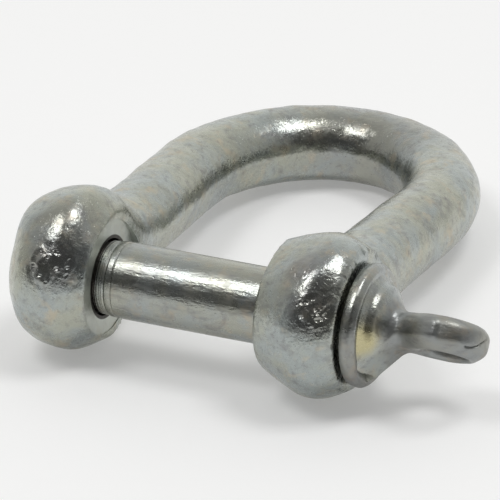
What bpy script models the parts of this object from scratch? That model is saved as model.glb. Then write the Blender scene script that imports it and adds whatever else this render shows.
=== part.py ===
"""Bow shackle of the 12 mm size: a forged bow, a screw pin with a flattened eye, and the pin's collar.

The shackle lies on a surface, resting on its two ears and on the top of its bow.
+X runs along the pin towards its eye, +Y from the pin to the top of the bow, +Z up.
The shapes are drawn in millimetres around the pin's axis, with X = 0 midway between the
ears, and every object is then placed in metres. The origin of the finished part is the
bottom centre of its box.
"""

import math

import bmesh
import bpy

MM = 0.001

# Pin, in mm
PIN_R = 6.0
PIN_END_X = -27.4
PITCH = 1.75
CREST_R = 5.85
ROOT_R = 4.85
CREST_W = 0.375
THREAD_STOP_X = -13.3
NECK_R = 5.2
SHOULDER_X = -12.5
CORE_R = 5.9
CONE_R = 8.1
CONE_RIM = 0.1
CONE_LENGTH = 4.1
NECK_BEHIND_EYE_R = 3.2

# Ears of the bow, in mm
JAW = 28.1
EAR_T = 13.8
EAR_R = 12.7
EAR_RIDGE_R = 13.62
EAR_RIDGE_ROUND = 5.0
EAR_RIDGE_AT = 0.53
EAR_EDGE_ROUND = 1.2
EAR_FACE_IN_R = 9.1
EAR_FACE_OUT_R = 9.6
BORE_R = 6.35

# Bar of the bow, in mm: the centreline runs up each leg and round half an ellipse
LEG_FOOT_X = 21.3
LEG_TOP_X = 20.7
LEG_TOP_Y = 44.8
LEG_WAIST = 0.8
CROWN_RISE = 24.9
BAR_R_EAR = 6.4
BAR_R_CROWN = 6.1

# Collar, in mm
COLLAR_GAP = 0.5
COLLAR_T = 2.4
COLLAR_R = 9.65
COLLAR_BORE_R = 6.2

# Flattened eye, in mm
EYE_X = 42.25
EYE_R = 6.45
EYE_HOLE_X = 42.65
EYE_HOLE_R = 3.2
EYE_T = 5.5
EYE_TURN = math.radians(-38.3)
NECK_HALF_W = 3.4

# Gaps, in mm
THREAD_RADIAL_GAP = 0.25
THREAD_SIDE_GAP = 0.15
SEAM_GAP = 0.3

SIDES = 32
THREAD_SIDES = 24
THREAD_SLOPE = math.tan(math.radians(30))
BAR_SIDES = 20
LEG_POINTS = 9
CROWN_POINTS = 24

# Places that follow from the sizes above, in mm
EAR_IN_X = JAW / 2
EAR_OUT_X = EAR_IN_X + EAR_T
CROWN_Y = LEG_TOP_Y + CROWN_RISE
COLLAR_X = EAR_OUT_X + COLLAR_GAP
CONE_X = COLLAR_X + COLLAR_T + SEAM_GAP
EYE_TIP_X = EYE_X + EYE_R
TAP_CREST_R = ROOT_R + THREAD_RADIAL_GAP
TAP_ROOT_R = CREST_R + THREAD_RADIAL_GAP

# The bow leans until its crown rests on the surface that the ears stand on
LEAN = math.asin((EAR_R - BAR_R_CROWN) / CROWN_Y)
CROWN_REACH = CROWN_Y * math.cos(LEAN) + BAR_R_CROWN
PIN_AXIS = (
    -(EYE_TIP_X - EAR_OUT_X) / 2 * MM,
    -(CROWN_REACH - EAR_R) / 2 * MM,
    EAR_R * MM,
)

FINISHES = {
    "bow": ((0.56, 0.57, 0.53), 0.38, 1.0),
    "screw_pin": ((0.62, 0.63, 0.60), 0.28, 1.0),
    "pin_collar": ((0.60, 0.61, 0.57), 0.32, 1.0),
}


def clear_scene():
    for obj in list(bpy.data.objects):
        bpy.data.objects.remove(obj, do_unlink=True)


def make_collection(name):
    group = bpy.data.collections.new(name)
    bpy.context.scene.collection.children.link(group)
    return group


def make_material(name):
    color, roughness, metallic = FINISHES[name]
    mat = bpy.data.materials.new(name)
    mat.use_nodes = True
    shader = mat.node_tree.nodes["Principled BSDF"]
    shader.inputs["Base Color"].default_value = (*color, 1.0)
    shader.inputs["Roughness"].default_value = roughness
    shader.inputs["Metallic"].default_value = metallic
    return mat


def add_object(name, data, group, guide=False):
    """Link a new object; a guide is a shape that only cuts or joins another."""
    obj = bpy.data.objects.new(name, data)
    group.objects.link(obj)
    if guide:
        obj.hide_render = True
        obj.display_type = "WIRE"
    return obj


def place_on_pin(obj, about_pin=0.0):
    """Put an object's origin on the pin's axis and turn it about that axis."""
    obj.location = PIN_AXIS
    obj.rotation_euler = (about_pin, 0.0, 0.0)


def place_turned(obj):
    """Lay a shape turned about its own Z along the pin's axis."""
    obj.location = PIN_AXIS
    obj.rotation_euler = (0.0, math.pi / 2, 0.0)


def rounded(points, radii, steps=3):
    """A polyline with each inner corner replaced by an arc of the radius given for it."""
    result = [points[0]]
    corners = zip(points[:-2], points[1:-1], points[2:], radii)
    for before, corner, after, radius in corners:
        if radius == 0:
            result.append(corner)
            continue
        result.extend(corner_arc(before, corner, after, radius, steps))
    result.append(points[-1])
    return result


def corner_arc(before, corner, after, radius, steps):
    """Points of the arc that touches both sides of a corner."""
    into = unit(corner, before)
    out = unit(corner, after)
    half = math.acos(into[0] * out[0] + into[1] * out[1]) / 2
    reach = radius / math.tan(half)
    middle = unit((0.0, 0.0), (into[0] + out[0], into[1] + out[1]))
    centre = [corner[i] + middle[i] * radius / math.sin(half) for i in range(2)]
    first = [corner[i] + into[i] * reach for i in range(2)]
    last = [corner[i] + out[i] * reach for i in range(2)]
    start = math.atan2(first[1] - centre[1], first[0] - centre[0])
    sweep = math.atan2(last[1] - centre[1], last[0] - centre[0]) - start
    sweep = (sweep + math.pi) % (2 * math.pi) - math.pi
    arc = []
    for step in range(steps + 1):
        angle = start + sweep * step / steps
        arc.append((centre[0] + radius * math.cos(angle), centre[1] + radius * math.sin(angle)))
    return arc


def unit(start, end):
    dx, dy = end[0] - start[0], end[1] - start[1]
    size = math.hypot(dx, dy)
    return dx / size, dy / size


def turned(name, outline, group, closed=False, sides=SIDES, guide=False):
    """Turn an outline of (x along the pin, radius) points, given from -X to +X."""
    mesh = bpy.data.meshes.new(name)
    points = [(radius * MM, 0.0, x * MM) for x, radius in reversed(outline)]
    edges = [(i, i + 1) for i in range(len(points) - 1)]
    if closed:
        edges.append((len(points) - 1, 0))
    mesh.from_pydata(points, edges, [])
    obj = add_object(name, mesh, group, guide)
    place_turned(obj)
    screw = obj.modifiers.new("turn", "SCREW")
    screw.axis = "Z"
    screw.steps = sides
    screw.render_steps = sides
    screw.use_merge_vertices = True
    screw.merge_threshold = 0.00001
    return obj


def helix_cutter(name, group, start_x, turns, wide, tip):
    """The groove of a right-hand thread: a four-sided section carried along a helix.

    wide and tip are (radius, width) of the section's open side and of its bottom.
    """
    bm = bmesh.new()
    corners = [
        (-wide[1] / 2, wide[0]),
        (wide[1] / 2, wide[0]),
        (tip[1] / 2, tip[0]),
        (-tip[1] / 2, tip[0]),
    ]
    verts = [bm.verts.new(((start_x + x) * MM, r * MM, 0.0)) for x, r in corners]
    edges = [bm.edges.new((verts[i], verts[(i + 1) % 4])) for i in range(4)]
    steps = round(turns * THREAD_SIDES)
    bmesh.ops.spin(
        bm,
        geom=verts + edges,
        cent=(0.0, 0.0, 0.0),
        axis=(1.0, 0.0, 0.0),
        dvec=(PITCH * MM / THREAD_SIDES, 0.0, 0.0),
        angle=2 * math.pi * steps / THREAD_SIDES,
        steps=steps,
    )
    open_edges = [edge for edge in bm.edges if edge.is_boundary]
    bmesh.ops.holes_fill(bm, edges=open_edges, sides=4)
    bmesh.ops.recalc_face_normals(bm, faces=bm.faces)
    mesh = bpy.data.meshes.new(name)
    bm.to_mesh(mesh)
    bm.free()
    obj = add_object(name, mesh, group, guide=True)
    place_on_pin(obj)
    return obj


def curve_to_mesh(curve_obj, group, guide=False):
    """Replace a curve by its mesh, with the caps welded on."""
    depsgraph = bpy.context.evaluated_depsgraph_get()
    mesh = bpy.data.meshes.new_from_object(curve_obj.evaluated_get(depsgraph))
    bm = bmesh.new()
    bm.from_mesh(mesh)
    bmesh.ops.remove_doubles(bm, verts=bm.verts, dist=0.00001)
    bmesh.ops.recalc_face_normals(bm, faces=bm.faces)
    bm.to_mesh(mesh)
    bm.free()
    name = curve_obj.name
    place = curve_obj.matrix_world.copy()
    bpy.data.objects.remove(curve_obj, do_unlink=True)
    obj = add_object(name, mesh, group, guide)
    obj.matrix_world = place
    return obj


def boolean(obj, operand, operation):
    mod = obj.modifiers.new(operand.name, "BOOLEAN")
    mod.operation = operation
    mod.solver = "EXACT"
    mod.object = operand


def bar_centreline():
    """Points of the bar from the foot of the left leg to the foot of the right leg."""
    leg = []
    for step in range(LEG_POINTS):
        part = step / LEG_POINTS
        ease = part * part * (3 - 2 * part)
        x = LEG_FOOT_X + (LEG_TOP_X - LEG_FOOT_X) * ease
        x -= LEG_WAIST * math.sin(math.pi * part) ** 2
        leg.append((x, LEG_TOP_Y * part))
    crown = []
    for step in range(CROWN_POINTS + 1):
        angle = math.pi * step / CROWN_POINTS
        crown.append((-LEG_TOP_X * math.cos(angle), LEG_TOP_Y + CROWN_RISE * math.sin(angle)))
    left = [(-x, y) for x, y in leg]
    return left + crown + leg[::-1]


def make_bar(group):
    """The round bar of the bow, a little thinner at the crown than at the ears."""
    curve = bpy.data.curves.new("bow", "CURVE")
    curve.dimensions = "3D"
    curve.bevel_depth = BAR_R_EAR * MM
    curve.bevel_resolution = BAR_SIDES // 4 - 2
    curve.use_fill_caps = True
    points = bar_centreline()
    spline = curve.splines.new("POLY")
    spline.points.add(len(points) - 1)
    for point, (x, y) in zip(spline.points, points):
        point.co = (x * MM, y * MM, 0.0, 1.0)
        radius = BAR_R_EAR + (BAR_R_CROWN - BAR_R_EAR) * y / CROWN_Y
        point.radius = radius / BAR_R_EAR
    obj = add_object("bow", curve, group)
    place_on_pin(obj, -LEAN)
    bpy.context.view_layer.update()
    return curve_to_mesh(obj, group)


def make_ear(name, side, group):
    """A barrel-shaped ear: flat faces, sloping shoulders and a rounded middle."""
    outline = [
        (EAR_IN_X, 0.0),
        (EAR_IN_X, EAR_FACE_IN_R),
        (EAR_IN_X + EAR_T * EAR_RIDGE_AT, EAR_RIDGE_R),
        (EAR_OUT_X, EAR_FACE_OUT_R),
        (EAR_OUT_X, 0.0),
    ]
    outline = rounded(outline, (EAR_EDGE_ROUND, EAR_RIDGE_ROUND, EAR_EDGE_ROUND), steps=4)
    if side < 0:
        outline = [(-x, radius) for x, radius in reversed(outline)]
    return turned(name, outline, group, guide=True)


def make_hole(name, x_low, x_high, radius, mouth, group, sides):
    """A drill with a short countersink at both ends."""
    past = 1.0
    outline = [
        (x_low - past, 0.0),
        (x_low - past, radius + mouth + past),
        (x_low + mouth, radius),
        (x_high - mouth, radius),
        (x_high + past, radius + mouth + past),
        (x_high + past, 0.0),
    ]
    return turned(name, outline, group, sides=sides, guide=True)


def thread_width(radius):
    """Width of the pin's thread tooth at a radius; its sides slope at 30 degrees."""
    return CREST_W + 2 * THREAD_SLOPE * (CREST_R - radius)


def make_tap(group):
    """The groove that the pin's thread runs in, in the left ear."""
    inner = TAP_CREST_R - 0.1
    wide = (inner, thread_width(inner) + 2 * THREAD_SIDE_GAP)
    tip = (TAP_ROOT_R, thread_width(TAP_ROOT_R - THREAD_RADIAL_GAP))
    turns = math.ceil(EAR_T / PITCH) + 2
    start = -EAR_OUT_X - PITCH
    return helix_cutter("tap_groove", group, start, turns, wide, tip)


def make_bow(parts, guides):
    bow = make_bar(parts)
    boolean(bow, make_ear("ear_threaded", -1, guides), "UNION")
    boolean(bow, make_ear("ear_plain", 1, guides), "UNION")
    plain = make_hole("plain_hole", EAR_IN_X, EAR_OUT_X, BORE_R, 0.3, guides, SIDES)
    boolean(bow, plain, "DIFFERENCE")
    drilled = make_hole("tap_drill", -EAR_OUT_X, -EAR_IN_X, TAP_CREST_R, 1.2, guides, THREAD_SIDES)
    boolean(bow, drilled, "DIFFERENCE")
    boolean(bow, make_tap(guides), "DIFFERENCE")
    return bow


def pin_outline():
    """The pin from its threaded end to the neck behind the eye."""
    return [
        (PIN_END_X, 0.0),
        (PIN_END_X, ROOT_R - 0.2),
        (PIN_END_X + 1.2, CREST_R),
        (THREAD_STOP_X, CREST_R),
        (THREAD_STOP_X + 0.3, NECK_R),
        (SHOULDER_X - 0.4, NECK_R),
        (SHOULDER_X, PIN_R - 0.4),
        (SHOULDER_X + 0.5, PIN_R),
        (EAR_OUT_X, PIN_R),
        (EAR_OUT_X + 0.1, CORE_R),
        (CONE_X, CORE_R),
        (CONE_X, CONE_R),
        (CONE_X + CONE_RIM, CONE_R),
        (CONE_X + CONE_LENGTH, NECK_BEHIND_EYE_R),
        (CONE_X + CONE_LENGTH + 1.0, NECK_BEHIND_EYE_R - 1.4),
        (CONE_X + CONE_LENGTH + 1.0, 0.0),
    ]


def eye_outline():
    """The eye's outer outline: a neck that opens into a round head."""
    start = math.radians(148)
    steps = 20
    head = []
    for step in range(steps + 1):
        angle = start - 2 * start * step / steps
        head.append((EYE_X + EYE_R * math.cos(angle), EYE_R * math.sin(angle)))
    foot_x = CONE_X + 1.4
    return [(foot_x, -NECK_HALF_W), (foot_x, NECK_HALF_W)] + head


def make_eye(group):
    """The flattened eye: a flat outline with a round hole, its edges rounded over."""
    edge = 1.5
    curve = bpy.data.curves.new("eye", "CURVE")
    curve.dimensions = "2D"
    curve.fill_mode = "BOTH"
    curve.extrude = (EYE_T / 2 - edge) * MM
    curve.bevel_depth = edge * MM
    curve.bevel_resolution = 2
    curve.offset = -edge * MM
    hole = []
    steps = 20
    for step in range(steps):
        angle = -2 * math.pi * step / steps
        hole.append((EYE_HOLE_X + EYE_HOLE_R * math.cos(angle), EYE_HOLE_R * math.sin(angle)))
    for outline in (eye_outline(), hole):
        spline = curve.splines.new("POLY")
        spline.points.add(len(outline) - 1)
        spline.use_cyclic_u = True
        for point, (x, y) in zip(spline.points, outline):
            point.co = (x * MM, y * MM, 0.0, 1.0)
    obj = add_object("eye", curve, group, guide=True)
    place_on_pin(obj, EYE_TURN)
    bpy.context.view_layer.update()
    return curve_to_mesh(obj, group, guide=True)


def make_pin(parts, guides):
    pin = turned("screw_pin", pin_outline(), parts, sides=THREAD_SIDES)
    open_r = CREST_R + 0.2
    open_w = PITCH - thread_width(open_r)
    root_w = PITCH - thread_width(ROOT_R)
    turns = math.ceil((THREAD_STOP_X - PIN_END_X) / PITCH) + 1
    start = -EAR_OUT_X - PITCH / 2
    groove = helix_cutter("pin_groove", guides, start, turns, (open_r, open_w), (ROOT_R, root_w))
    boolean(pin, groove, "DIFFERENCE")
    boolean(pin, make_eye(guides), "UNION")
    return pin


def make_collar(parts):
    """The collar: a thick ring with rounded rims."""
    outer = [
        (COLLAR_X, COLLAR_BORE_R),
        (COLLAR_X, COLLAR_R),
        (COLLAR_X + COLLAR_T, COLLAR_R),
        (COLLAR_X + COLLAR_T, COLLAR_BORE_R),
    ]
    outline = rounded(outer, (0.7, 0.9), steps=3)
    return turned("pin_collar", outline, parts, closed=True)


def finish(obj):
    obj.data.shade_smooth()
    obj.data.set_sharp_from_angle(angle=math.radians(35))
    for mod in obj.modifiers:
        if mod.type == "SCREW":
            mod.use_smooth_shade = True
    obj.data.materials.append(make_material(obj.name))


def main():
    clear_scene()
    parts = make_collection("bow_shackle")
    guides = make_collection("guides")
    for obj in (make_bow(parts, guides), make_pin(parts, guides), make_collar(parts)):
        finish(obj)


main()
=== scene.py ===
"""Looks of the bow shackle: a forged, zinc-plated bow and its screw pin, on a pale floor.

Shapes are worked out in millimetres in the bow's own frame: X along the pin towards its eye,
Y from the pin to the top of the bow, Z square to the bow, and the origin on the pin's axis
midway between the ears. Each finished piece is then laid into the CAD frame, in metres.
"""

import math

import bmesh
import bpy
import numpy as np
from mathutils import Matrix, Vector, noise


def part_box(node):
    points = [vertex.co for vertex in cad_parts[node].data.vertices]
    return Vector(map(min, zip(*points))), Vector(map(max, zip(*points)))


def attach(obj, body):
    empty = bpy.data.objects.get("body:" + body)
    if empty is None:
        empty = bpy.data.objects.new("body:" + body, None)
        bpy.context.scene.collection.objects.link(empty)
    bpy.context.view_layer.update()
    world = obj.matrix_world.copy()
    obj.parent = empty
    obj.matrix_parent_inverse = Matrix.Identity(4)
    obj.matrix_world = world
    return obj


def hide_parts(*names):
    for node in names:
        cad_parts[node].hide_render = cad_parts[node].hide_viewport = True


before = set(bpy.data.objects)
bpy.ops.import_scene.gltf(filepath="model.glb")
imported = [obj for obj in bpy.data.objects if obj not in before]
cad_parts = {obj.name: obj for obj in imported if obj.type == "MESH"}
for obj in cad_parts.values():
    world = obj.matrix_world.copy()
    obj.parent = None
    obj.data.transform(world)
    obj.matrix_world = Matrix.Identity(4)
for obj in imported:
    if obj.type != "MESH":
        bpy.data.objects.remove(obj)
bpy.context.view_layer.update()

MM = 0.001

# ---------------------------------------------------------------- places read from the frame
BOW_LOW, BOW_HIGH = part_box("bow")
COLLAR_LOW, COLLAR_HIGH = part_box("pin_collar")
PIN_LOW, PIN_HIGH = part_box("screw_pin")
PIN_AXIS = Vector((
    (BOW_LOW.x + BOW_HIGH.x) / 2,
    (COLLAR_LOW.y + COLLAR_HIGH.y) / 2,
    (COLLAR_LOW.z + COLLAR_HIGH.z) / 2,
))
EAR_OUT = (BOW_HIGH.x - BOW_LOW.x) / 2 / MM
EAR_R = (PIN_AXIS.z - BOW_LOW.z) / MM
COLLAR_IN = (COLLAR_LOW.x - PIN_AXIS.x) / MM
COLLAR_OUT = (COLLAR_HIGH.x - PIN_AXIS.x) / MM
COLLAR_R = (COLLAR_HIGH.y - COLLAR_LOW.y) / 2 / MM
PIN_END = (PIN_LOW.x - PIN_AXIS.x) / MM
EYE_TIP = (PIN_HIGH.x - PIN_AXIS.x) / MM

# ---------------------------------------------------------------- sizes of the bow, in mm
EAR_T = 13.8
EAR_IN = EAR_OUT - EAR_T
SPOT_FACE_R = 9.1
LEFT_FACE_OUT_R = 7.3
RIGHT_FACE_OUT_R = 10.4
ROOT_SWELL = 0.9
ROOT_SHIFT = 0.7
LEG_FOOT_X = 21.3
LEG_TOP_X = 20.7
LEG_TOP_Y = 44.8
LEG_WAIST = 0.8
CROWN_RISE = 24.9
BAR_R_EAR = 6.4
BAR_R_CROWN = 6.1
CROWN_Y = LEG_TOP_Y + CROWN_RISE
LEAN = math.asin((EAR_R - BAR_R_CROWN) / CROWN_Y)
BORE_R = 6.35
BORE_LIP = 0.3
FLAT_TILT = math.radians(16)
FLAT_HALF = math.radians(20)
LEFT_DENTS = ((-19.0, -10.8, 4.8), 4.6)
RIGHT_DENTS = ((24.2, -10.4, 4.9), 4.2)
UPPER_DENTS = ((20.5, -6.7, 10.8), 3.4)
DENT_PLACES = [LEFT_DENTS, RIGHT_DENTS, UPPER_DENTS]

# Where the strokes fall, their number, length, width and depth, which way they lean, and a seed.
TOOL_STROKES = [
    (LEFT_DENTS, 5, 1.8, 1.2, 0.15, 1.2, 3),
    (LEFT_DENTS, 55, 0.5, 0.3, 0.11, 0.2, 5),
    (RIGHT_DENTS, 5, 1.5, 0.9, 0.11, 0.6, 4),
    (RIGHT_DENTS, 60, 0.5, 0.3, 0.11, -0.3, 8),
    (UPPER_DENTS, 45, 0.6, 0.3, 0.1, 1.2, 9),
]

# ---------------------------------------------------------------- sizes of the pin, in mm
PIN_R = 6.0
PITCH = 1.75
CREST_R = 5.85
ROOT_R = 4.85
CREST_W = 0.375
THREAD_GAP = 0.25
THREAD_SIDE_GAP = 0.15
THREAD_SLOPE = math.tan(math.radians(30))
MOUTH_R = 6.12
MOUTH_DEPTH = 2.1
MOUTH_LIP = 0.08
THREAD_STOP = -14.3
NECK_R = 5.78
NECK_RINGS = (-13.72, -13.3, -12.95)
RING_DEPTH = 0.14
SHOULDER = -12.5
NECK_X = 35.0
NECK_HALF_W = 3.3
FOOT_X = COLLAR_OUT - 0.5
CONE_STATIONS = (-0.5, 0.0, 0.55, 1.85, 2.6, 3.3, 4.3, 5.5)
CONE_RADII = (8.8, 8.1, 7.1, 6.4, 5.0, 3.95, 3.0, 2.6)
EYE_TURN = math.radians(-32.8)
EYE_R = 6.45
EYE_HOLE_R = 3.55
EYE_X = EYE_TIP - EYE_R
EYE_HOLE_X = EYE_X + 0.25
EYE_UP = 2.9
EYE_DOWN = 2.8

# ---------------------------------------------------------------- fineness of the meshes
TURN_SIDES = 96
BOW_VOXEL = 0.42
HEAD_VOXEL = 0.17

# ---------------------------------------------------------------- colours of the plating, with painted shade and a painted reflection
ZINC_GREEN = (0.43, 0.44, 0.375, 1.0)
ZINC_BLUE = (0.395, 0.43, 0.42, 1.0)
ZINC_STRAW = (0.52, 0.465, 0.36, 1.0)
# ZINC_DARK is also the tint of the painted shade patches.
ZINC_DARK = (0.215, 0.205, 0.21, 1.0)
# A painted reflection: the yellowish glow that the cone shows beside the collar.
PAINTED_GOLD_REFLECTION = (0.60, 0.53, 0.27, 1.0)
ZINC_PALE = (0.64, 0.66, 0.61, 1.0)
# Near black: grease, and painted shade where the thread lies hidden in the hole.
THREAD_GREASE_AND_PAINTED_SHADE = (0.06, 0.056, 0.05, 1.0)

# The room's greys, from straight behind the shackle (0) to straight in front of it (1).
ROOM_GREYS = ((0.0, 1.02), (0.18, 0.76), (0.34, 0.56), (0.56, 0.5), (0.68, 0.22), (0.8, 0.1))
ROOM_FRONT = math.radians(18)


# ---------------------------------------------------------------- small tools
def clamp01(value):
    """The value, kept between 0 and 1."""
    return np.clip(value, 0.0, 1.0)


def ramp(low, high, value):
    """0 below low, 1 above high, and a smooth rise between them."""
    part = clamp01((value - low) / (high - low))
    return part * part * (3 - 2 * part)


def smooth_max(reach, *fields):
    """The largest of several fields, with their meeting edges rounded."""
    stack = np.stack(fields)
    top = stack.max(axis=0)
    return top + reach * np.log(np.exp((stack - top) / reach).sum(axis=0))


def blend_union(first, second, reach):
    """Union of two fields with a fillet about as wide as reach."""
    part = clamp01(0.5 + 0.5 * (second - first) / reach)
    return second + (first - second) * part - reach * part * (1 - part)


def blend_cut(body, tool, reach):
    """The body with the tool taken out of it, its new edges rounded."""
    return -blend_union(-body, tool, reach)


def wobble(points, size, seed, depth=1):
    """Smooth noise from -1 to 1 at each point; size is its wavelength in mm."""
    shift = Vector((seed * 17.3, seed * -9.1, seed * 5.7))
    result = np.zeros(len(points))
    strength = 1.0
    scale = 1.0 / size
    for _ in range(depth):
        values = [noise.noise(Vector(p) * scale + shift) for p in points]
        result += strength * np.array(values)
        strength *= 0.5
        scale *= 2.0
    return result


def rounded(points, radii, steps=5):
    """A polyline with each inner corner replaced by an arc of the radius given for it."""
    result = [points[0]]
    for before, corner, after, radius in zip(points[:-2], points[1:-1], points[2:], radii):
        corner = Vector(corner)
        if radius == 0:
            result.append(corner)
            continue
        into = (Vector(before) - corner).normalized()
        out = (Vector(after) - corner).normalized()
        half = into.angle(out) / 2
        centre = corner + (into + out).normalized() * radius / math.sin(half)
        first = corner + into * radius / math.tan(half) - centre
        last = corner + out * radius / math.tan(half) - centre
        for step in range(steps + 1):
            spot = first.lerp(last, step / steps).normalized() * radius
            result.append(centre + spot)
    result.append(points[-1])
    return [tuple(point) for point in result]


# ---------------------------------------------------------------- meshes
def mesh_from_bmesh(bm, name):
    """A new mesh with its faces pointing outwards; the bmesh is freed."""
    bmesh.ops.recalc_face_normals(bm, faces=bm.faces)
    mesh = bpy.data.meshes.new(name)
    bm.to_mesh(mesh)
    bm.free()
    return mesh


def lathe(name, outline, closed=False, sides=TURN_SIDES):
    """Turn an outline of (x, radius) points about the X axis."""
    bm = bmesh.new()
    verts = [bm.verts.new((x, radius, 0.0)) for x, radius in outline]
    pairs = list(zip(verts[:-1], verts[1:]))
    if closed:
        pairs.append((verts[-1], verts[0]))
    edges = [bm.edges.new(pair) for pair in pairs]
    bmesh.ops.spin(
        bm,
        geom=verts + edges,
        cent=(0.0, 0.0, 0.0),
        axis=(1.0, 0.0, 0.0),
        angle=2 * math.pi,
        steps=sides,
    )
    bmesh.ops.remove_doubles(bm, verts=bm.verts, dist=0.0005)
    return mesh_from_bmesh(bm, name)


def helix(name, start, turns, section, steps_per_turn=TURN_SIDES):
    """Carry a closed section of (x, radius) points along a right-hand helix."""
    bm = bmesh.new()
    verts = [bm.verts.new((start + x, radius, 0.0)) for x, radius in section]
    edges = [bm.edges.new((verts[i - 1], verts[i])) for i in range(len(verts))]
    steps = round(turns * steps_per_turn)
    bmesh.ops.spin(
        bm,
        geom=verts + edges,
        cent=(0.0, 0.0, 0.0),
        axis=(1.0, 0.0, 0.0),
        dvec=(PITCH / steps_per_turn, 0.0, 0.0),
        angle=2 * math.pi * steps / steps_per_turn,
        steps=steps,
    )
    ends = [edge for edge in bm.edges if edge.is_boundary]
    bmesh.ops.holes_fill(bm, edges=ends, sides=len(section))
    return mesh_from_bmesh(bm, name)


def temporary(mesh):
    """An object in the scene that only carries a mesh or its modifiers for a while."""
    obj = bpy.data.objects.new(mesh.name, mesh)
    bpy.context.scene.collection.objects.link(obj)
    return obj


def evaluated_mesh(obj):
    """The mesh of an object with its modifiers applied; the object is removed."""
    depsgraph = bpy.context.evaluated_depsgraph_get()
    mesh = bpy.data.meshes.new_from_object(obj.evaluated_get(depsgraph))
    bpy.data.objects.remove(obj, do_unlink=True)
    return mesh


def combine(mesh, steps):
    """Apply a list of (operation, mesh) Booleans one after the other."""
    obj = temporary(mesh)
    tools = []
    for operation, tool_mesh in steps:
        tool = temporary(tool_mesh)
        tools.append(tool)
        mod = obj.modifiers.new(tool.name, "BOOLEAN")
        mod.operation = operation
        mod.solver = "EXACT"
        mod.object = tool
    result = evaluated_mesh(obj)
    for tool in tools:
        bpy.data.objects.remove(tool, do_unlink=True)
    return result


def voxel_skin(meshes, voxel):
    """One even skin round several overlapping closed meshes."""
    bm = bmesh.new()
    for mesh in meshes:
        bm.from_mesh(mesh)
    obj = temporary(mesh_from_bmesh(bm, "skin"))
    mod = obj.modifiers.new("skin", "REMESH")
    mod.mode = "VOXEL"
    mod.voxel_size = voxel
    return evaluated_mesh(obj)


def get_points(mesh):
    """The mesh's vertices, one row each."""
    points = np.empty(len(mesh.vertices) * 3)
    mesh.vertices.foreach_get("co", points)
    return points.reshape(-1, 3)


def set_points(mesh, points):
    """Move the mesh's vertices to these rows."""
    mesh.vertices.foreach_set("co", points.ravel())
    mesh.update()


def get_edges(mesh):
    """The two vertex numbers of each edge, one row each."""
    pairs = np.empty(len(mesh.edges) * 2, dtype=np.int64)
    mesh.edges.foreach_get("vertices", pairs)
    return pairs.reshape(-1, 2)


def relaxed(points, edges, amount=0.5):
    """Move each point part of the way to the mean of its neighbours."""
    total = np.zeros_like(points)
    count = np.zeros(len(points))
    for near, far in ((0, 1), (1, 0)):
        np.add.at(total, edges[:, near], points[edges[:, far]])
        np.add.at(count, edges[:, near], 1.0)
    mean = total / np.maximum(count, 1.0)[:, None]
    return points + (mean - points) * amount


def slope_of(field, points, value, step=0.01):
    """How fast the field grows along X, Y and Z at each point, where it has this value."""
    return np.stack([(field(points + shift) - value) / step for shift in np.eye(3) * step], axis=1)


def settle(mesh, field, rounds=4):
    """Lay a mesh onto the surface where the field is zero; returns its outward normals."""
    points = get_points(mesh)
    edges = get_edges(mesh)
    slope = None
    for turn in range(rounds):
        if turn < rounds - 1:
            points = relaxed(points, edges)
        value = field(points)
        slope = slope_of(field, points, value)
        steepness = np.maximum((slope ** 2).sum(axis=1), 0.1)
        move = np.clip(value / steepness, -1.0, 1.0)
        points = points - slope * move[:, None]
    set_points(mesh, points)
    return slope / np.linalg.norm(slope, axis=1)[:, None]


# ---------------------------------------------------------------- the bow
def bar_centreline(count=220):
    """Points and radii along the right half of the bar, from its foot to the crown."""
    leg = np.linspace(0.0, 1.0, count, endpoint=False)
    ease = leg * leg * (3 - 2 * leg)
    leg_x = LEG_FOOT_X + (LEG_TOP_X - LEG_FOOT_X) * ease - LEG_WAIST * np.sin(np.pi * leg) ** 2
    turn = np.linspace(0.0, np.pi / 2, count)
    x = np.concatenate([leg_x, LEG_TOP_X * np.cos(turn)])
    y = np.concatenate([LEG_TOP_Y * leg, LEG_TOP_Y + CROWN_RISE * np.sin(turn)])
    root = 1 - ramp(7.0, 20.0, y)
    x -= ROOT_SHIFT * root
    radius = BAR_R_EAR + (BAR_R_CROWN - BAR_R_EAR) * y / CROWN_Y + ROOT_SWELL * root
    return x, y, radius


CENTRE_X, CENTRE_Y, CENTRE_R = bar_centreline()
CENTRE_WAY = np.stack([np.gradient(CENTRE_X), np.gradient(CENTRE_Y)])
CENTRE_WAY /= np.linalg.norm(CENTRE_WAY, axis=0)


def bar_field(points):
    """A round bar, pressed flat along the lower half of its inner side."""
    result = np.empty(len(points))
    for low in range(0, len(points), 8000):
        part = points[low:low + 8000]
        across = np.abs(part[:, 0])[:, None] - CENTRE_X
        along = part[:, 1][:, None] - CENTRE_Y
        distance = np.sqrt(across ** 2 + along ** 2 + part[:, 2][:, None] ** 2) - CENTRE_R
        nearest = distance.argmin(axis=1)
        rows = np.arange(len(part))
        way = CENTRE_WAY[:, nearest]
        inward = along[rows, nearest] * way[0] - across[rows, nearest] * way[1]
        flat = inward * math.cos(FLAT_TILT) - part[:, 2] * math.sin(FLAT_TILT)
        flat -= CENTRE_R[nearest] * math.cos(FLAT_HALF)
        result[low:low + 8000] = smooth_max(0.05, distance[rows, nearest], flat)
    return result


def slope_plane(radius, along, face_r, degrees):
    """A cone: radius is face_r where along is zero, and grows with it."""
    slope = np.radians(degrees)
    return (radius - face_r) * np.cos(slope) - along * np.sin(slope)


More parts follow.
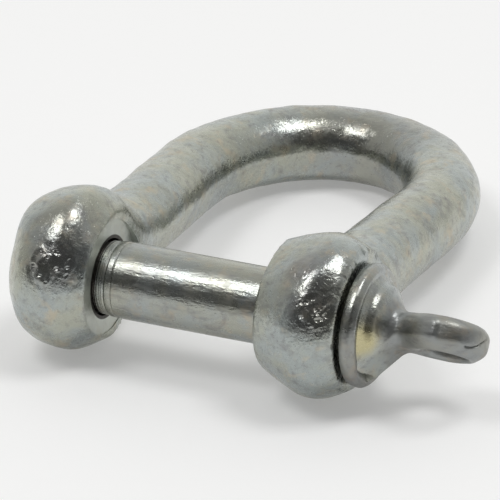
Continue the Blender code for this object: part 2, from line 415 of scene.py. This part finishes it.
def ear_field(points):
    """A barrel with flat faces, sloping shoulders and a rounded rim, fuller towards its leg."""
    x = np.abs(points[:, 0])
    left = points[:, 0] < 0
    radius = np.hypot(points[:, 1], points[:, 2])
    along_leg = points[:, 1] / np.maximum(radius, 0.1)
    upward = points[:, 2] / np.maximum(radius, 0.1)
    by_leg = ramp(-0.45, 0.45, along_leg)
    on_top = ramp(0.2, 0.95, 0.4 * along_leg + 0.92 * upward)
    face_in = SPOT_FACE_R + 0.2 + np.where(left, 1.4, 1.5) * by_leg
    steep_in = np.where(left, 36.0 + 11.0 * on_top, 26.0 - 5.0 * on_top)
    shoulder_in = slope_plane(radius, x - EAR_IN, face_in, steep_in)
    right_out = slope_plane(radius, EAR_OUT - x, RIGHT_FACE_OUT_R + 1.0 * on_top, 28)
    corner_out = slope_plane(radius, EAR_OUT - x, LEFT_FACE_OUT_R + 2.0 * on_top, 57)
    gentle_out = slope_plane(radius, EAR_OUT - x, 10.2 + 0.3 * on_top, 20 + 5.0 * on_top)
    left_out = smooth_max(0.5, corner_out, gentle_out)
    shoulder_out = np.where(left, left_out, right_out)
    crest = radius - EAR_R + np.where(left, 0.35 - 1.35 * on_top, 0.1 - 0.95 * on_top)
    rim = smooth_max(0.4 + 0.25 * on_top, shoulder_in, crest, shoulder_out)
    return smooth_max(0.15, rim, EAR_IN - x, x - EAR_OUT)


def bow_field(points):
    """Bar and ears, with the blend kept behind the ears' outer faces round the pin."""
    radius = np.hypot(points[:, 1], points[:, 2])
    whole = blend_union(bar_field(points), ear_field(points), 3.0)
    face = np.abs(points[:, 0]) - EAR_OUT - ramp(11.0, 14.0, radius)
    return smooth_max(0.1, whole, face)


def spot_face_cutter():
    """The room that is kept clear between the ears, round the pin."""
    end = EAR_IN + 0.14
    outline = [(-end, 0.0), (-end, SPOT_FACE_R), (end, SPOT_FACE_R), (end, 0.0)]
    return lathe("spot_face", outline)


def bow_core():
    """Rough closed shapes that the bow's skin starts from."""
    curve = bpy.data.curves.new("bar", "CURVE")
    curve.dimensions = "3D"
    curve.bevel_depth = BAR_R_EAR
    curve.bevel_resolution = 6
    curve.use_fill_caps = True
    x = np.concatenate([CENTRE_X[::8], -CENTRE_X[::-8]])
    y = np.concatenate([CENTRE_Y[::8], CENTRE_Y[::-8]])
    spline = curve.splines.new("POLY")
    spline.points.add(len(x) - 1)
    for point, px, py in zip(spline.points, x, y):
        point.co = (px, py, 0.0, 1.0)
    obj = bpy.data.objects.new("bar", curve)
    bpy.context.scene.collection.objects.link(obj)
    meshes = [evaluated_mesh(obj)]
    for side in (-1, 1):
        ends = sorted((side * EAR_IN, side * EAR_OUT))
        outline = [
            (ends[0], 0.0),
            (ends[0], SPOT_FACE_R),
            (sum(ends) / 2, EAR_R),
            (ends[1], SPOT_FACE_R),
            (ends[1], 0.0),
        ]
        meshes.append(lathe("ear", outline))
    return meshes


def hole_cutter(low, high, radius, mouth_r, mouth_depth, lip):
    """A drill, wider for a short depth at both ends, with rounded lips."""
    past = 2.0
    outline = [
        (low - past, 0.0),
        (low - past, mouth_r + lip),
        (low, mouth_r + lip),
        (low + lip, mouth_r),
        (low + lip + mouth_depth, mouth_r),
        (low + lip + mouth_depth + 0.3, radius),
        (high - lip - mouth_depth - 0.3, radius),
        (high - lip - mouth_depth, mouth_r),
        (high - lip, mouth_r),
        (high, mouth_r + lip),
        (high + past, mouth_r + lip),
        (high + past, 0.0),
    ]
    outline = rounded(outline, (0, lip, 0.1, 0.1, 0, 0, 0.1, 0.1, lip, 0), steps=4)
    return lathe("drill", outline)


def thread_width(radius):
    """Width of the pin's thread tooth at a radius."""
    return CREST_W + 2 * THREAD_SLOPE * (CREST_R - radius)


def tap_cutter():
    """The groove that the pin's thread runs in."""
    inner = ROOT_R + THREAD_GAP - 0.1
    outer = CREST_R + THREAD_GAP
    wide = thread_width(inner) / 2 + THREAD_SIDE_GAP
    narrow = thread_width(CREST_R) / 2
    section = [(-wide, inner), (wide, inner), (narrow, outer), (-narrow, outer)]
    turns = math.ceil(EAR_T / PITCH) + 2
    return helix("tap", -EAR_OUT - PITCH, turns, section)


def forge_marks(points):
    """How far each point of the bow stands out of its smooth form, in mm."""
    x = np.abs(points[:, 0])
    radius = np.hypot(points[:, 1], points[:, 2])
    on_face = (1 - ramp(11.0, 12.5, radius)) * ramp(EAR_OUT - 2.5, EAR_OUT - 0.5, x)
    in_jaw = (1 - ramp(9.3, 10.0, radius)) * (1 - ramp(EAR_IN + 0.1, EAR_IN + 0.6, x))
    slow = 0.17 * wobble(points, 11.0, 1)
    medium = 0.11 * wobble(points, 4.2, 2, depth=3)
    return (slow + medium) * (1 - on_face) * (1 - in_jaw)


def refine_near(mesh, places):
    """Cut the faces near some places finer, so that they can carry small dents."""
    bm = bmesh.new()
    bm.from_mesh(mesh)
    edges = set()
    for face in bm.faces:
        centre = face.calc_center_median()
        if any((centre - place).length < reach for place, reach in places):
            edges.update(face.edges)
    bmesh.ops.subdivide_edges(bm, edges=list(edges), cuts=2, use_grid_fill=True)
    bm.to_mesh(mesh)
    bm.free()


def dents(points, place, reach, count, length, width, depth, lean, seed):
    """Overlapping strokes of a blunt tool, scattered about a place on an ear."""
    rng = np.random.default_rng(seed)
    near = np.where(np.linalg.norm(points - np.array(place), axis=1) < reach)[0]
    part = points[near]
    rise = np.zeros(len(part))
    for _ in range(count):
        spot = np.array(place) + rng.uniform(-1.0, 1.0, 3) * reach * np.array((0.62, 0.25, 0.5))
        turn = lean + rng.normal(0.0, 0.35)
        way = np.array((math.cos(turn), 0.0, math.sin(turn)))
        size = rng.uniform(0.6, 1.2)
        away = (part - spot) * np.array((1.0, 0.35, 1.0))
        along = away @ way
        aside = np.sqrt(np.maximum((away ** 2).sum(axis=1) - along ** 2, 0.0))
        far = np.hypot(along / (length * size), aside / (width * size))
        rise -= depth * size * (1 - ramp(0.25, 1.0, far))
        rise += 0.2 * depth * np.exp(-((far - 1.15) / 0.22) ** 2)
    edge = 1 - ramp(0.75 * reach, reach, np.linalg.norm(part - np.array(place), axis=1))
    result = np.zeros(len(points))
    result[near] = np.maximum(rise, -2.2 * depth) * edge
    return result


def make_bow():
    """The bow: settled onto its field, marked by the forge and by tools, and drilled."""
    mesh = voxel_skin(bow_core(), BOW_VOXEL)
    refine_near(mesh, [(Vector(place), reach) for place, reach in DENT_PLACES])
    normals = settle(mesh, bow_field)
    points = get_points(mesh)
    rise = forge_marks(points)
    for (place, reach), *strokes in TOOL_STROKES:
        rise += dents(points, place, reach, *strokes)
    set_points(mesh, points + normals * rise[:, None])
    bore = hole_cutter(EAR_IN, EAR_OUT, BORE_R - 0.02, BORE_R, 1.0, BORE_LIP)
    tapping_hole = hole_cutter(
        -EAR_OUT, -EAR_IN, ROOT_R + THREAD_GAP, MOUTH_R, MOUTH_DEPTH, MOUTH_LIP
    )
    steps = [
        ("DIFFERENCE", spot_face_cutter()),
        ("DIFFERENCE", bore),
        ("DIFFERENCE", tapping_hole),
        ("DIFFERENCE", tap_cutter()),
    ]
    mesh = combine(mesh, steps)
    return finished_piece("forged_bow", mesh, -LEAN)


# ---------------------------------------------------------------- the pin
DIAGONAL = math.sqrt(0.5)


def eye_axes(points):
    """Distances along the pin, across the eye in its plane, and square to the eye."""
    across = points[:, 1] * math.cos(EYE_TURN) + points[:, 2] * math.sin(EYE_TURN)
    square = -points[:, 1] * math.sin(EYE_TURN) + points[:, 2] * math.cos(EYE_TURN)
    return points[:, 0], across, square


def cone_field(points):
    """The stem that carries the collar's thrust into the neck: a low step, then a hollow cone."""
    x = points[:, 0]
    radius = np.hypot(points[:, 1], points[:, 2])
    reach = np.linspace(-0.3, 0.3, 7)
    at = (x - COLLAR_OUT)[:, None] + reach
    profile = np.interp(at, CONE_STATIONS, CONE_RADII).mean(axis=1)
    cone = (radius - profile) * 0.62
    return smooth_max(0.08, cone, x - NECK_X - 0.6)


def gusset_field(points):
    """A flat-faced web under the neck, between it and the collar."""
    x, across, square = eye_axes(points)
    front = -(across + square) * DIAGONAL
    down = (across - square) * DIAGONAL
    back = NECK_X - x
    rise = front - 2.85 - 1.25 * back
    floor = (down - 3.6 - 0.8 * back) * 0.78
    roof = (-1.5 + 0.95 * back - down + 0.9 * np.maximum(rise, -1.2)) * 0.55
    return smooth_max(0.12, rise * 0.62, floor, roof, 0.5 - front, -back - 1.2)


def paddle_field(points):
    """The neck and the eye: a plate with a flat rim and chamfered edges."""
    x, across, square = eye_axes(points)
    eye = np.hypot(x - EYE_X, across) - EYE_R
    half_width = NECK_HALF_W + 0.45 * np.maximum(x - NECK_X, 0.0)
    neck = smooth_max(0.3, (np.abs(across) - half_width) * 0.91, x - EYE_X, COLLAR_OUT + 0.3 - x)
    side = blend_union(neck, eye, 0.9)
    lower_edge = (side - square - 0.95) * DIAGONAL
    upper_edge = (side + square - 1.7) * DIAGONAL
    return smooth_max(0.24, side, lower_edge, upper_edge, square - EYE_UP, -square - EYE_DOWN)


def eye_hole_field(points):
    """The hole through the eye, square to its plane."""
    x, across, square = eye_axes(points)
    return np.hypot(x - EYE_HOLE_X, across) - EYE_HOLE_R


def lap_field(points):
    """How far each point is from a forging lap, folded into the rim near the eye's tip."""
    x, across, square = eye_axes(points)
    turn = np.arctan2(-across, x - EYE_X)
    part = clamp01((0.73 - turn) / 0.65)
    line = -1.2 + 2.2 * part ** 1.5 + 0.12 * np.sin(9 * turn)
    beyond = np.maximum(np.abs(turn - 0.405) - 0.325, 0.0) * EYE_R
    inside = np.maximum(EYE_R - 1.5 - np.hypot(x - EYE_X, across), 0.0)
    return np.hypot(square - line, beyond) + inside


def head_field(points):
    """Cone, gusset and eye in one, from the foot inside the collar outwards."""
    stem = blend_union(cone_field(points), gusset_field(points), 0.7)
    whole = blend_union(stem, paddle_field(points), 0.7)
    return np.maximum(blend_cut(whole, eye_hole_field(points), 1.4), FOOT_X - points[:, 0])


def upright_disc(name, x, radius, depth):
    """A short cylinder square to the eye's plane."""
    bm = bmesh.new()
    bmesh.ops.create_cone(
        bm, cap_ends=True, segments=64, radius1=radius, radius2=radius, depth=depth
    )
    bm.transform(Matrix.Translation((x, 0, 0)))
    bm.transform(Matrix.Rotation(EYE_TURN, 4, "X"))
    return mesh_from_bmesh(bm, name)


def head_core():
    """Rough closed shapes that the head's skin starts from."""
    cone = [(COLLAR_OUT + station, radius) for station, radius in zip(CONE_STATIONS, CONE_RADII)]
    cone = [(cone[0][0], 0.0)] + cone
    cone += [(EYE_HOLE_X - EYE_HOLE_R - 0.6, 2.8), (EYE_HOLE_X - EYE_HOLE_R - 0.6, 0.0)]
    plate = upright_disc("plate", EYE_X, EYE_R, EYE_UP + EYE_DOWN)
    hole = upright_disc("hole", EYE_HOLE_X, EYE_HOLE_R, 15.0)
    plate = combine(plate, [("DIFFERENCE", hole)])
    return [lathe("cone", cone), plate]


def pin_outline():
    """The turned part of the pin, from its threaded end to inside the cone."""
    points = [
        (PIN_END, 0.0),
        (PIN_END, ROOT_R - 0.2),
        (PIN_END + 1.2, CREST_R),
        (THREAD_STOP, CREST_R),
        (THREAD_STOP + 0.25, NECK_R),
    ]
    for ring in NECK_RINGS:
        points += [(ring - 0.1, NECK_R), (ring, NECK_R - RING_DEPTH), (ring + 0.1, NECK_R)]
    points += [
        (SHOULDER - 0.3, NECK_R),
        (SHOULDER, PIN_R - 0.3),
        (SHOULDER + 0.25, PIN_R - 0.06),
        (SHOULDER + 1.05, PIN_R - 0.03),
        (SHOULDER + 1.2, PIN_R - 0.16),
        (SHOULDER + 1.4, PIN_R),
        (COLLAR_IN + 0.6, PIN_R),
        (COLLAR_OUT + 1.0, PIN_R),
        (COLLAR_OUT + 1.0, 0.0),
    ]
    radii = [0.2, 0.2, 0.1, 0.1]
    radii += [0.03] * 3 * len(NECK_RINGS)
    radii += [0.1, 0.1, 0.1, 0.05, 0.05, 0.1, 0, 0]
    return rounded(points, radii, steps=4)


def pin_groove():
    """The groove between the turns of the pin's thread, stopping short of the neck."""
    open_r = CREST_R + 0.2
    wide = (PITCH - thread_width(open_r)) / 2
    narrow = (PITCH - thread_width(ROOT_R)) / 2
    section = [(-wide, open_r), (wide, open_r), (narrow, ROOT_R + 0.05)]
    section += [(narrow * 0.5, ROOT_R), (-narrow * 0.5, ROOT_R), (-narrow, ROOT_R + 0.05)]
    start = -EAR_OUT - PITCH / 2
    turns = (THREAD_STOP - 0.6 - start) / PITCH
    return helix("groove", start, turns, section)


def make_pin():
    """The pin: a turned and threaded shank joined to its forged head."""
    head = voxel_skin(head_core(), HEAD_VOXEL)
    normals = settle(head, head_field, rounds=6)
    points = get_points(head)
    marks = 0.07 * wobble(points, 4.0, 5, depth=2)
    marks *= ramp(COLLAR_OUT + 0.1, COLLAR_OUT + 1.0, points[:, 0])
    marks -= 0.3 * (1 - ramp(0.0, 0.22, lap_field(points)))
    set_points(head, points + normals * marks[:, None])
    shank = lathe("shank", pin_outline())
    mesh = combine(shank, [("DIFFERENCE", pin_groove()), ("UNION", head)])
    return finished_piece("screw_pin_forging", mesh, -LEAN)


def make_collar():
    """The collar that stops against the ear: a thick ring with rounded rims."""
    hole = PIN_R + 0.05
    seat = COLLAR_IN + 0.04
    outline = [
        (seat, hole),
        (seat, COLLAR_R - 0.25),
        (COLLAR_IN + 1.0, COLLAR_R),
        (COLLAR_OUT - 0.8, COLLAR_R - 0.05),
        (COLLAR_OUT, COLLAR_R - 0.8),
        (COLLAR_OUT, hole),
    ]
    outline = rounded(outline, (0.12, 2.5, 0.9, 0.6), steps=6)
    return finished_piece("collar_ring", lathe("collar", outline, closed=True), -LEAN)


# ---------------------------------------------------------------- finishing and materials
def finished_piece(name, mesh, about_pin):
    """Lay a mesh in millimetres round the pin's axis into the frame, in metres."""
    mesh.name = name
    place = Matrix.Translation(PIN_AXIS) @ Matrix.Rotation(about_pin, 4, "X") @ Matrix.Scale(MM, 4)
    mesh.transform(place)
    mesh.shade_smooth()
    mesh.set_sharp_from_angle(angle=math.radians(38))
    obj = bpy.data.objects.new(name, mesh)
    bpy.context.scene.collection.objects.link(obj)
    return obj


class NodeSheet:
    """Short ways to add and wire the nodes of one material."""

    def __init__(self, material):
        material.use_nodes = True
        self.tree = material.node_tree
        self.shader = self.tree.nodes["Principled BSDF"]

    def add(self, kind, settings=None, **wires):
        """A new node; a wire's name is its socket's, with _ for a space."""
        node = self.tree.nodes.new(kind)
        for key, value in (settings or {}).items():
            setattr(node, key, value)
        for key, value in wires.items():
            self.wire(node.inputs[key.replace("_", " ")], value)
        return node

    def wire(self, socket, value):
        """Link a node's output to a socket, or set the socket to a plain value."""
        if isinstance(value, bpy.types.NodeSocket):
            self.tree.links.new(value, socket)
        else:
            socket.default_value = value

    def places(self, stretch):
        """Object coordinates in millimetres, squeezed along each axis by the stretch."""
        where = self.add("ShaderNodeTexCoord").outputs["Object"]
        node = self.add("ShaderNodeVectorMath", {"operation": "MULTIPLY"})
        self.wire(node.inputs[0], where)
        self.wire(node.inputs[1], tuple(1.0 / MM / axis for axis in stretch))
        return node.outputs[0]

    def noise(self, vector, size, detail=2.0, rough=0.55, distortion=0.0):
        """Noise from 0 to 1; size is its wavelength in mm."""
        node = self.add(
            "ShaderNodeTexNoise",
            Vector=vector,
            Scale=1.0 / size,
            Detail=detail,
            Roughness=rough,
            Distortion=distortion,
        )
        return node.outputs[0]

    def span(self, value, low, high, to_low=0.0, to_high=1.0):
        """The value carried smoothly from one range to another."""
        node = self.add("ShaderNodeMapRange", {"interpolation_type": "SMOOTHSTEP"})
        for socket, number in zip(node.inputs, (value, low, high, to_low, to_high)):
            self.wire(socket, number)
        return node.outputs[0]

    def mix(self, part, first, second):
        """A colour between the first (part 0) and the second (part 1)."""
        node = self.add("ShaderNodeMix", {"data_type": "RGBA"})
        colours = [socket for socket in node.inputs if socket.type == "RGBA"]
        self.wire(node.inputs[0], part)
        self.wire(colours[0], first)
        self.wire(colours[1], second)
        return [socket for socket in node.outputs if socket.type == "RGBA"][0]

    def math(self, operation, first, second):
        """The result of one sum."""
        node = self.add("ShaderNodeMath", {"operation": operation})
        self.wire(node.inputs[0], first)
        self.wire(node.inputs[1], second)
        return node.outputs[0]

    def near(self, place, inner, outer):
        """1 within the inner distance of a place in the frame, 0 past the outer one."""
        where = self.add("ShaderNodeTexCoord").outputs["Object"]
        node = self.add("ShaderNodeVectorMath", {"operation": "DISTANCE"})
        self.wire(node.inputs[0], where)
        self.wire(node.inputs[1], tuple(place))
        return self.span(node.outputs["Value"], inner * MM, outer * MM, 1.0, 0.0)

    def bump(self, height, distance, below=None):
        """A normal that a height tilts, in mm, on top of an earlier bump."""
        node = self.add("ShaderNodeBump", Height=height, Distance=distance * MM)
        if below is not None:
            self.wire(node.inputs["Normal"], below)
        return node.outputs[0]


def in_frame(place):
    """A place given in millimetres round the pin's axis, as a place in the frame."""
    return PIN_AXIS + Matrix.Rotation(-LEAN, 4, "X") @ Vector(place) * MM


# Each kind of patch: its tint, how much of it shows, and how much rougher the patch is.
PATCHES = {
    # rubbed: a darker tone on dents and the eye, and painted shade that deepens the dark
    # reflections on the ears, the crown and the collar's underside.
    "rubbed": (ZINC_DARK, 0.35, -0.03),
    "matt": (ZINC_DARK, 0.0, 0.18),
    "pale": (ZINC_PALE, 0.7, 0.0),
    # warm: a gold tint painted where the cone reflects the collar.
    "warm": (PAINTED_GOLD_REFLECTION, 0.7, 0.0),
    # greasy: grease, and painted shade in the tapped hole and on the thread inside it.
    "greasy": (THREAD_GREASE_AND_PAINTED_SHADE, 1.0, 0.0),
}


def zinc_material(name, stretch=(1, 1, 1), grain=1.0, dark=0.0, **patches):
    """Electroplated zinc: a soft metal, clouded grey-green, blue and straw.

    The patches are lists of (place, inner, outer) for each kind in PATCHES: full within the
    inner distance of the place, and faded out at the outer one. Some kinds carry painted shade
    and a painted reflection.
    """
    mat = bpy.data.materials.new(name)
    sheet = NodeSheet(mat)
    even = sheet.places((1, 1, 1))
    places = sheet.places(stretch)
    cloud = sheet.noise(even, 7.5, 3.0, 0.6, 0.4)
    hue = sheet.noise(even, 3.1, 3.0, 0.6)
    stain = sheet.noise(even, 4.4, 4.0, 0.7, 0.6)
    mottle = sheet.noise(places, 1.1, 4.0, 0.65)
    speck = sheet.noise(places, 0.35, 2.0, 0.6)
    colour = sheet.mix(sheet.span(cloud, 0.36, 0.66), ZINC_GREEN, ZINC_BLUE)
    colour = sheet.mix(sheet.span(hue, 0.52, 0.74, 0.0, 0.75), colour, ZINC_STRAW)
    colour = sheet.mix(sheet.span(stain, 0.52, 0.74, 0.0, 0.5), colour, ZINC_DARK)
    colour = sheet.mix(sheet.span(mottle, 0.5, 0.78, 0.0, 0.6), colour, ZINC_DARK)
    colour = sheet.mix(sheet.span(speck, 0.62, 0.8, 0.0, 0.55), colour, ZINC_DARK)
    colour = sheet.mix(dark, colour, ZINC_DARK)
    rough = sheet.span(mottle, 0.3, 0.7, 0.2, 0.33)
    rough = sheet.math("ADD", rough, sheet.span(hue, 0.35, 0.7, -0.03, 0.06))
    # Lay the patches over the plating; some are painted shade and one a painted reflection.
    for kind, (tint, tint_part, rougher) in PATCHES.items():
        for place, inner, outer in patches.get(kind, ()):
            patch = sheet.near(in_frame(place), inner, outer)
            colour = sheet.mix(sheet.math("MULTIPLY", patch, tint_part), colour, tint)
            rough = sheet.math("ADD", rough, sheet.math("MULTIPLY", patch, rougher))
    pits = sheet.span(sheet.noise(even, 0.5, 1.0, 0.5), 0.62, 0.72, 1.0, 0.0)
    normal = sheet.bump(sheet.noise(places, 1.7, 2.0, 0.5), 0.09 * grain * grain)
    normal = sheet.bump(sheet.noise(places, 0.45, 3.0, 0.65), 0.05 * grain, normal)
    normal = sheet.bump(pits, 0.012 * grain, normal)
    sheet.wire(sheet.shader.inputs["Base Color"], colour)
    sheet.wire(sheet.shader.inputs["Roughness"], rough)
    sheet.wire(sheet.shader.inputs["Normal"], normal)
    sheet.shader.inputs["Metallic"].default_value = 1.0
    return mat


# ---------------------------------------------------------------- stage, light and camera
def make_floor():
    """A wide pale floor with a faint glow, so that the shadows on it stay light."""
    mesh = bpy.data.meshes.new("floor")
    bm = bmesh.new()
    bmesh.ops.create_grid(bm, x_segments=1, y_segments=1, size=6.0)
    bm.to_mesh(mesh)
    bm.free()
    floor = bpy.data.objects.new("floor", mesh)
    bpy.context.scene.collection.objects.link(floor)
    mat = bpy.data.materials.new("floor_white")
    mat.use_nodes = True
    shader = mat.node_tree.nodes["Principled BSDF"]
    shader.inputs["Base Color"].default_value = (0.76, 0.76, 0.76, 1.0)
    shader.inputs["Roughness"].default_value = 0.9
    shader.inputs["Emission Color"].default_value = (1.0, 1.0, 1.0, 1.0)
    shader.inputs["Emission Strength"].default_value = 0.24
    mesh.materials.append(mat)


def add_softbox(name, azimuth, elevation, distance, size, power):
    """A square area light aimed at the shackle; azimuth 0 is in front of the pin."""
    light = bpy.data.lights.new(name, "AREA")
    light.size = size
    light.energy = power
    obj = bpy.data.objects.new(name, light)
    bpy.context.scene.collection.objects.link(obj)
    a = math.radians(azimuth)
    e = math.radians(elevation)
    back = Vector((math.sin(a) * math.cos(e), -math.cos(a) * math.cos(e), math.sin(e)))
    obj.location = PIN_AXIS + back * distance
    obj.rotation_mode = "QUATERNION"
    obj.rotation_quaternion = back.to_track_quat("Z", "Y")
    obj.visible_camera = False


def make_world():
    """A room that is dark in front of the shackle, mid-grey beside it and pale behind it."""
    world = bpy.data.worlds.new("studio")
    bpy.context.scene.world = world
    world.use_nodes = True
    tree = world.node_tree
    way = tree.nodes.new("ShaderNodeTexCoord").outputs["Generated"]
    front = tree.nodes.new("ShaderNodeVectorMath")
    front.operation = "DOT_PRODUCT"
    tree.links.new(way, front.inputs[0])
    front.inputs[1].default_value = (math.sin(ROOM_FRONT), -math.cos(ROOM_FRONT), 0.0)
    shades = tree.nodes.new("ShaderNodeValToRGB")
    shift = tree.nodes.new("ShaderNodeMapRange")
    shift.inputs["From Min"].default_value = -1.0
    tree.links.new(front.outputs["Value"], shift.inputs["Value"])
    tree.links.new(shift.outputs[0], shades.inputs["Fac"])
    stops = shades.color_ramp.elements
    while len(stops) < len(ROOM_GREYS):
        stops.new(0.5)
    for stop, (place, grey) in zip(stops, ROOM_GREYS):
        stop.position = place
        stop.color = (grey, grey, grey * 0.98, 1.0)
    tree.links.new(shades.outputs["Color"], tree.nodes["Background"].inputs["Color"])


def make_lights():
    """The room and two soft lights above the shackle, one behind it and one in front."""
    make_world()
    add_softbox("key_right", 113.0, 68.0, 1.0, 0.34, 2.6)
    add_softbox("key_left", -46.0, 63.0, 1.0, 0.34, 2.3)
    bpy.context.scene.view_settings.view_transform = "Standard"


def make_camera():
    """The camera of the main picture: low, from the front right, with a long lens."""
    aim = PIN_AXIS + Vector((1.408, 18.781, -1.304)) * MM
    distance = 1.0315
    azimuth = math.radians(24.28)
    elevation = math.radians(26.95)
    roll = math.radians(-1.17)
    back = Vector((
        math.sin(azimuth) * math.cos(elevation),
        -math.cos(azimuth) * math.cos(elevation),
        math.sin(elevation),
    ))
    level = Vector((math.cos(azimuth), math.sin(azimuth), 0.0))
    upright = back.cross(level)
    right = level * math.cos(roll) + upright * math.sin(roll)
    up = back.cross(right)
    camera = bpy.data.cameras.new("camera")
    camera.lens = 476.0
    camera.sensor_width = 36.0
    camera.clip_start = 0.05
    camera.clip_end = 20.0
    obj = bpy.data.objects.new("camera", camera)
    bpy.context.scene.collection.objects.link(obj)
    turn = Matrix((right, up, back)).transposed().to_4x4()
    obj.matrix_world = Matrix.Translation(aim + back * distance) @ turn
    bpy.context.scene.camera = obj


def add_bow():
    """The bow, darker in its dents, with painted shade round its highlights on the ears and crown,
    matt pale spot faces, and grease and painted shade in the thread's mouth.
    """
    bow = make_bow()
    dents_shown = [(place, reach * 0.6, reach * 1.05) for place, reach in DENT_PLACES]
    # The dents are darker in tone.
    rubbed = dents_shown + [
        # Painted shade: darker patches about the ears' hot spots and on the crown, deepening the
        # dark reflections beside the highlights.
        ((-18.5, -7.5, 9.5), 3.0, 8.0),
        ((23.5, -7.0, 9.5), 3.0, 8.0),
        ((3.0, CROWN_Y, 3.0), 7.0, 20.0),
    ]
    spot_faces = [((side * EAR_IN, 0.0, 0.0), 8.8, 9.4) for side in (-1, 1)]
    # Grease and painted shade: the mouth of the tapped hole darkened, as if shaded.
    thread_mouth = [((-EAR_IN - 1.4, 0.0, 0.0), 6.7, 6.85)]
    bow_zinc = zinc_material(
        "bow_zinc", rubbed=rubbed, matt=spot_faces, pale=spot_faces, greasy=thread_mouth
    )
    bow.data.materials.append(bow_zinc)
    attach(bow, "bow")
    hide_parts("bow")


def add_pin():
    """The pin, turned along its axis, matt and darker on its head, with a painted gold reflection
    on its cone and grease and painted shade on its thread inside the hole.
    """
    pin = make_pin()
    eye = ((EYE_X, 0.0, 0.0), 8.8, 11.0)
    gusset = ((35.5, -4.5, -6.5), 5.0, 5.7)
    # Grease and painted shade: the thread inside the hole darkened, as if shaded by the ear.
    thread = [((-EAR_IN - 2.9 - step, 0.0, 0.0), 6.5, 6.6) for step in (0.0, 2.6, 5.2, 7.8, 10.4)]
    pin_zinc = zinc_material(
        "pin_zinc",
        stretch=(4.0, 1.0, 1.0),
        grain=0.9,
        dark=0.2,
        rubbed=[eye],
        matt=[eye, gusset],
        # Painted reflection: a gold patch on the cone beside the collar.
        warm=[((31.3, -7.4, 0.5), 1.2, 3.8)],
        greasy=thread,
    )
    pin.data.materials.append(pin_zinc)
    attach(pin, "pin")
    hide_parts("screw_pin")


def add_collar():
    """The collar, darker than the bow, with painted shade and a duller finish on its underside."""
    collar = make_collar()
    # Painted shade: the collar's underside darkened, as if shaded from the light.
    below = [((29.0, 0.0, -9.0), 7.0, 19.0)]
    collar_zinc = zinc_material("collar_zinc", grain=0.8, dark=0.3, rubbed=below, matt=below)
    collar.data.materials.append(collar_zinc)
    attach(collar, "collar")
    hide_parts("pin_collar")


add_bow()
add_pin()
add_collar()
make_floor()
make_lights()
make_camera()
